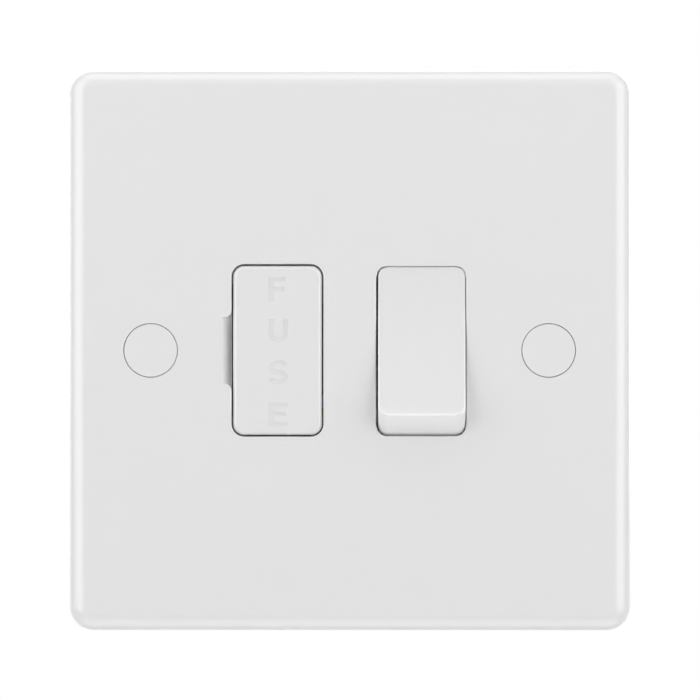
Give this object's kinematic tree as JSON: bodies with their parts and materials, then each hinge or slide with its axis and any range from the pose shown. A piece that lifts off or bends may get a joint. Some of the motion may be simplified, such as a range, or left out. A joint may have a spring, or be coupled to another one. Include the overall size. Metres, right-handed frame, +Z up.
{
  "type": "fused spur unit",
  "caption": "Square white switched fused connection unit with a pull-out fuse drawer, a rocker switch and capped fixing screws.",
  "frame": {"origin": "centre of the plate on the wall plane", "axes": "+X to the right seen from the front, +Y into the wall, +Z up; the front faces -Y"},
  "size_m": [0.086, 0.0324, 0.086],
  "materials": {
    "white_plastic": "smooth moulded white",
    "housing_plastic": "fine satin moulding",
    "brass": "bright pressed and machined brass",
    "fuse_ceramic": "unglazed off-white",
    "plated_cap": "nickel plated",
    "clip_bronze": "spring bronze strip",
    "zinc_steel": "bright zinc plate",
    "contact_silver": "silver alloy pad",
    "nylon": "natural nylon",
    "spring_steel": "drawn wire"
  },
  "bodies": {
    "base": {"front_plate": "white_plastic", "screw_cap_left": "white_plastic", "screw_cap_right": "white_plastic", "live_in_terminal": "brass", "neutral_in_terminal": "brass", "earth_in_terminal": "brass", "live_out_terminal": "brass", "neutral_out_terminal": "brass", "earth_out_terminal": "brass", "live_link": "brass", "live_out_link": "brass", "neutral_bracket": "brass", "earth_strap": "brass", "live_fixed_contact": "brass", "neutral_fixed_contact": "brass", "rear_housing": "housing_plastic", "fuse_clip_in": "clip_bronze", "fuse_clip_out": "clip_bronze", "fixing_screws": "zinc_steel", "terminal_screws": "zinc_steel", "live_fixed_tip": "contact_silver", "neutral_fixed_tip": "contact_silver"},
    "rocker": {"rocker": "white_plastic", "live_plunger_spring": "spring_steel", "neutral_plunger_spring": "spring_steel"},
    "live_plunger": {"live_plunger": "nylon"},
    "neutral_plunger": {"neutral_plunger": "nylon"},
    "live_arm": {"live_contact_arm": "brass", "live_moving_tip": "contact_silver"},
    "neutral_arm": {"neutral_contact_arm": "brass", "neutral_moving_tip": "contact_silver"},
    "fuse_drawer": {"fuse_carrier": "white_plastic", "fuse_body": "fuse_ceramic", "fuse_cap_top": "plated_cap", "fuse_cap_bottom": "plated_cap"}
  },
  "joints": [
    {"name": "rocker_tilt", "type": "hinge", "parent": "base", "child": "rocker", "pos_m": [0.01093, 0, 0], "axis": [1, 0, 0], "range_deg": [0, 14.84]},
    {"name": "fuse_drawer_slide", "type": "slide", "parent": "base", "child": "fuse_drawer", "axis": [0, -1, 0], "range_m": [0, 0.0125]},
    {"name": "live_plunger_slide", "type": "slide", "parent": "rocker", "child": "live_plunger", "axis": [0, -0.9916, 0.1292], "range_m": [0, 0.0008], "stiffness_N_per_m": 300, "springref_m": -0.002, "deforming": ["live_plunger_spring"]},
    {"name": "live_arm_tilt", "type": "hinge", "parent": "base", "child": "live_arm", "pos_m": [0.00733, 0.00896, 0], "axis": [1, 0, 0], "range_deg": [-22.27, 0]},
    {"name": "neutral_plunger_slide", "type": "slide", "parent": "rocker", "child": "neutral_plunger", "axis": [0, -0.9916, 0.1292], "range_m": [0, 0.0008], "stiffness_N_per_m": 300, "springref_m": -0.002, "deforming": ["neutral_plunger_spring"]},
    {"name": "neutral_arm_tilt", "type": "hinge", "parent": "base", "child": "neutral_arm", "pos_m": [0.01453, 0.00896, 0], "axis": [1, 0, 0], "range_deg": [-22.27, 0]}
  ],
  "couplings": [
    {"joint": "live_arm_tilt", "follows": "rocker_tilt", "ratio": -1.5},
    {"joint": "neutral_arm_tilt", "follows": "rocker_tilt", "ratio": -1.5}
  ]
}
